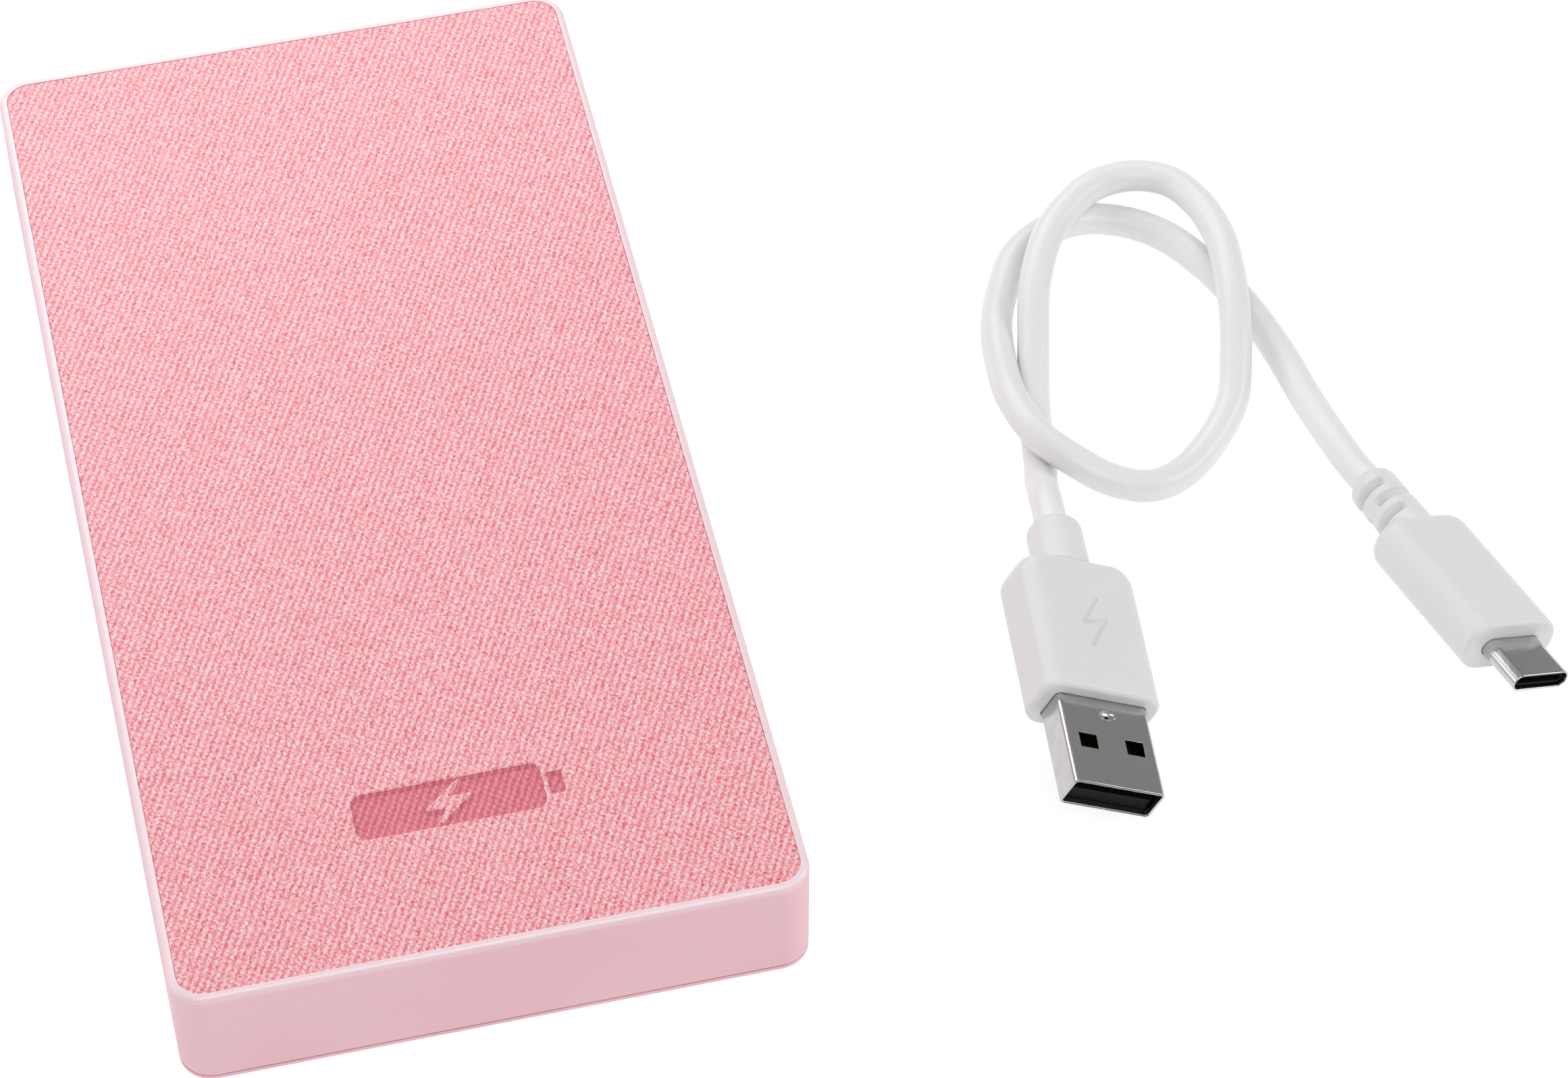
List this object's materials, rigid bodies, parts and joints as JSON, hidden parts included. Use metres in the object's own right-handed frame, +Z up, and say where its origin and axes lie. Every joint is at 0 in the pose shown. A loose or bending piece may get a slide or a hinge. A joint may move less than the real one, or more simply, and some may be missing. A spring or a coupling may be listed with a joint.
{
  "type": "power bank",
  "caption": "Slim slab power bank with a fabric top set in a rounded plastic frame, a button, charge lights and USB sockets at one end, and a short loose charging lead beside it.",
  "frame": {"origin": "on the table, under the middle of the power bank's body", "axes": "+X to the right across the body, towards the loose lead; +Y along the body towards the end with the sockets; +Z up out of the fabric top"},
  "size_m": [0.1674, 0.1426, 0.0159],
  "materials": {
    "case_plastic": "satin",
    "base_plastic": "satin",
    "panel_plastic": "matte",
    "top_fabric": "matte",
    "cell_foil": "satin",
    "foam_tape": "matte",
    "nickel_strip": "satin",
    "board_laminate": "satin",
    "insulating_film": "satin",
    "screw_steel": "satin",
    "ferrite": "matte",
    "chip_resin": "matte",
    "capacitor_ceramic": "matte",
    "socket_steel": "satin",
    "socket_insulator": "matte",
    "button_plastic": "satin",
    "light_guide": "gloss",
    "lamp_resin": "gloss",
    "lead_white": "satin",
    "cable_white": "satin",
    "plug_steel": "polished",
    "plug_insulator": "matte"
  },
  "bodies": {
    "power_bank": {"main_frame": "case_plastic", "bottom_cover": "base_plastic", "top_panel": "panel_plastic", "fabric_cover": "top_fabric", "lower_battery_cell": "cell_foil", "upper_battery_cell": "cell_foil", "lower_cell_pad": "foam_tape", "middle_cell_pad": "foam_tape", "upper_cell_positive_tab": "nickel_strip", "lower_cell_positive_tab": "nickel_strip", "upper_cell_negative_tab": "nickel_strip", "lower_cell_negative_tab": "nickel_strip", "circuit_board": "board_laminate", "board_insulator": "insulating_film", "left_board_screw": "screw_steel", "right_board_screw": "screw_steel", "power_inductor": "ferrite", "charge_controller": "chip_resin", "protection_chip": "chip_resin", "boost_transistor": "chip_resin", "input_capacitor": "capacitor_ceramic", "output_capacitor": "capacitor_ceramic", "current_sense_resistor": "chip_resin", "usb_a_socket_shell": "socket_steel", "usb_a_socket_tongue": "socket_insulator", "usb_c_socket_shell": "socket_steel", "usb_c_socket_tongue": "socket_insulator", "switch_housing": "socket_steel", "light_guide": "light_guide", "charge_light_1": "lamp_resin", "charge_light_2": "lamp_resin", "charge_light_3": "lamp_resin", "charge_light_4": "lamp_resin"},
    "button": {"power_button": "button_plastic", "switch_plunger": "socket_insulator"},
    "charging_lead": {"usb_a_plug_overmould": "lead_white", "usb_a_plug_shell": "plug_steel", "usb_a_plug_insert": "plug_insulator", "lead_cable": "cable_white", "usb_c_plug_overmould": "lead_white", "usb_c_plug_shell": "plug_steel", "usb_c_plug_insert": "plug_insulator"}
  },
  "joints": [
    {"name": "power_button_press", "type": "slide", "parent": "power_bank", "child": "button", "axis": [0, -1, 0], "range_m": [0, 0.00045], "stiffness_N_per_m": 2500, "springref_m": -0.0001},
    {"name": "lead_moves_aside", "type": "slide", "parent": "power_bank", "child": "charging_lead", "axis": [1, 0, 0], "range_m": [0, 0.05]}
  ]
}
